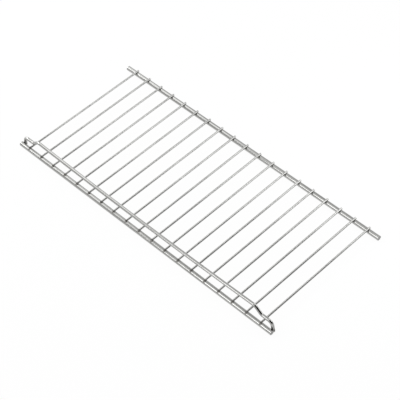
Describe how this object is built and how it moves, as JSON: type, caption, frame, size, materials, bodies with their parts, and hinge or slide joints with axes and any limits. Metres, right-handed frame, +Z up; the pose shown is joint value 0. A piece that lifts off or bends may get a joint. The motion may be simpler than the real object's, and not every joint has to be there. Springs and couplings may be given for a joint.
{
  "type": "refrigerator wire shelf",
  "caption": "Flat oblong grid of thin plated-steel cross wires welded across thick round rails, with a low bent guard rail along the front; carries food in a refrigerator and lets air through.",
  "frame": {"origin": "on the surface that the two rails lie on, midway along the rails and midway between them", "axes": "+X along the rails to the right as seen from the front, +Y from the guarded front to the rear, +Z up"},
  "size_m": [0.41, 0.1846, 0.0233],
  "materials": {
    "plated_wire": "bright drawn steel wire, electroplated after welding, satin to semi-bright"
  },
  "bodies": {
    "root": {"front_rail": "plated_wire", "rear_rail": "plated_wire", "guard_rail": "plated_wire", "cross_wire_01": "plated_wire", "cross_wire_02": "plated_wire", "cross_wire_03": "plated_wire", "cross_wire_04": "plated_wire", "cross_wire_05": "plated_wire", "cross_wire_06": "plated_wire", "cross_wire_07": "plated_wire", "cross_wire_08": "plated_wire", "cross_wire_09": "plated_wire", "cross_wire_10": "plated_wire", "cross_wire_11": "plated_wire", "cross_wire_12": "plated_wire", "cross_wire_13": "plated_wire", "cross_wire_14": "plated_wire", "cross_wire_15": "plated_wire", "cross_wire_16": "plated_wire", "cross_wire_17": "plated_wire", "cross_wire_18": "plated_wire", "cross_wire_19": "plated_wire"}
  },
  "joints": []
}
